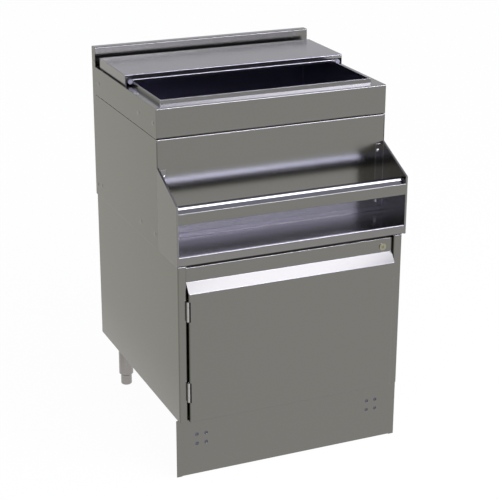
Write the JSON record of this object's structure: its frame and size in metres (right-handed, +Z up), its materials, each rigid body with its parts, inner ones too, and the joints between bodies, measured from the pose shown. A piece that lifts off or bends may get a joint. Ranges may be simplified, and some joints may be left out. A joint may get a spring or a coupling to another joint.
{
  "type": "underbar ice bin",
  "caption": "Stainless steel underbar ice bin: insulated bin under two sliding lids, bottle speed rail in front, and a cabinet with a hinged locking door on adjustable feet.",
  "frame": {"origin": "on the floor, in the middle of the footprint, half way between the face of the door and the back of the cabinet", "axes": "+X to the right as seen from the front, +Y to the back, +Z up"},
  "size_m": [0.6048, 0.609, 0.9555],
  "materials": {
    "sheet_steel": "satin brushed stainless steel sheet",
    "lid_steel": "satin brushed stainless steel sheet",
    "bin_steel": "satin brushed stainless steel, seen in its own shade",
    "inner_steel": "mill finish stainless steel sheet inside the body",
    "tube_steel": "satin stainless steel tube",
    "screw_steel": "bright turned stainless steel",
    "lock_nickel": "nickel plated zinc, faintly yellow",
    "foam": "closed cell polyurethane foam",
    "drain_plastic": "white polypropylene",
    "rubber_black": "matt black rubber",
    "pad_black": "black moulded plastic",
    "glide_nylon": "off white nylon",
    "clip_plastic": "dark moulded plastic"
  },
  "bodies": {
    "body": {"cab_side_left": "sheet_steel", "cab_side_right": "sheet_steel", "mid_side_left": "sheet_steel", "mid_side_right": "sheet_steel", "mid_front": "sheet_steel", "back_panel": "sheet_steel", "bench_top": "sheet_steel", "bin_rim": "sheet_steel", "rail_end_left": "sheet_steel", "rail_end_right": "sheet_steel", "rail_bar": "sheet_steel", "rail_tray": "sheet_steel", "kick_panel": "sheet_steel", "bin_liner": "bin_steel", "cab_back": "inner_steel", "cab_floor": "inner_steel", "cab_header": "inner_steel", "cab_rear_rail": "inner_steel", "mid_base": "inner_steel", "tapping_strips": "inner_steel", "leg_plates": "inner_steel", "leg_sleeves": "tube_steel", "side_screws": "screw_steel", "rail_screws": "screw_steel", "rail_nuts": "screw_steel", "leg_bolts": "screw_steel", "leg_nuts": "screw_steel", "hinge_frame_leaves": "screw_steel", "hinge_pins": "screw_steel", "drain_strainer": "screw_steel", "bin_insulation": "foam", "drain_body": "drain_plastic", "drain_nut": "drain_plastic", "drain_tail": "drain_plastic", "drain_gasket": "rubber_black", "door_buffers": "rubber_black", "kick_clips": "clip_plastic"},
    "door": {"door_skin": "sheet_steel", "door_back": "sheet_steel", "hinge_door_leaves": "screw_steel", "lock_body": "lock_nickel", "lock_nut": "lock_nickel"},
    "lock": {"lock_plug": "lock_nickel", "lock_cam": "lock_nickel", "cam_screw": "lock_nickel"},
    "upper_lid": {"upper_lid": "lid_steel", "upper_lid_sides": "lid_steel", "upper_lid_pads": "pad_black"},
    "lower_lid": {"lower_lid": "lid_steel", "lower_lid_glides": "glide_nylon"},
    "false_bottom": {"false_bottom": "bin_steel"},
    "foot_front_left": {"foot_front_left": "tube_steel"},
    "foot_front_right": {"foot_front_right": "tube_steel"},
    "foot_rear_left": {"foot_rear_left": "tube_steel"},
    "foot_rear_right": {"foot_rear_right": "tube_steel"}
  },
  "joints": [
    {"name": "door_hinge", "type": "hinge", "parent": "body", "child": "door", "pos_m": [-0.2747, -0.299, 0.345], "axis": [0, 0, -1], "range_deg": [0, 110]},
    {"name": "lock_turn", "type": "hinge", "parent": "door", "child": "lock", "pos_m": [0.2445, -0.2845, 0.5281], "axis": [0, -1, 0], "range_deg": [0, 90]},
    {"name": "upper_lid_slide", "type": "slide", "parent": "body", "child": "upper_lid", "axis": [0, -1, 0], "range_m": [0, 0.197]},
    {"name": "lower_lid_slide", "type": "slide", "parent": "body", "child": "lower_lid", "axis": [0, -1, 0], "range_m": [0, 0.196]},
    {"name": "false_bottom_lift", "type": "slide", "parent": "body", "child": "false_bottom", "axis": [0, 0, 1], "range_m": [0, 0.28]},
    {"name": "foot_front_left_screw", "type": "slide", "parent": "body", "child": "foot_front_left", "axis": [0, 0, 1], "range_m": [-0.025, 0]},
    {"name": "foot_front_right_screw", "type": "slide", "parent": "body", "child": "foot_front_right", "axis": [0, 0, 1], "range_m": [-0.025, 0]},
    {"name": "foot_rear_left_screw", "type": "slide", "parent": "body", "child": "foot_rear_left", "axis": [0, 0, 1], "range_m": [-0.025, 0]},
    {"name": "foot_rear_right_screw", "type": "slide", "parent": "body", "child": "foot_rear_right", "axis": [0, 0, 1], "range_m": [-0.025, 0]}
  ]
}
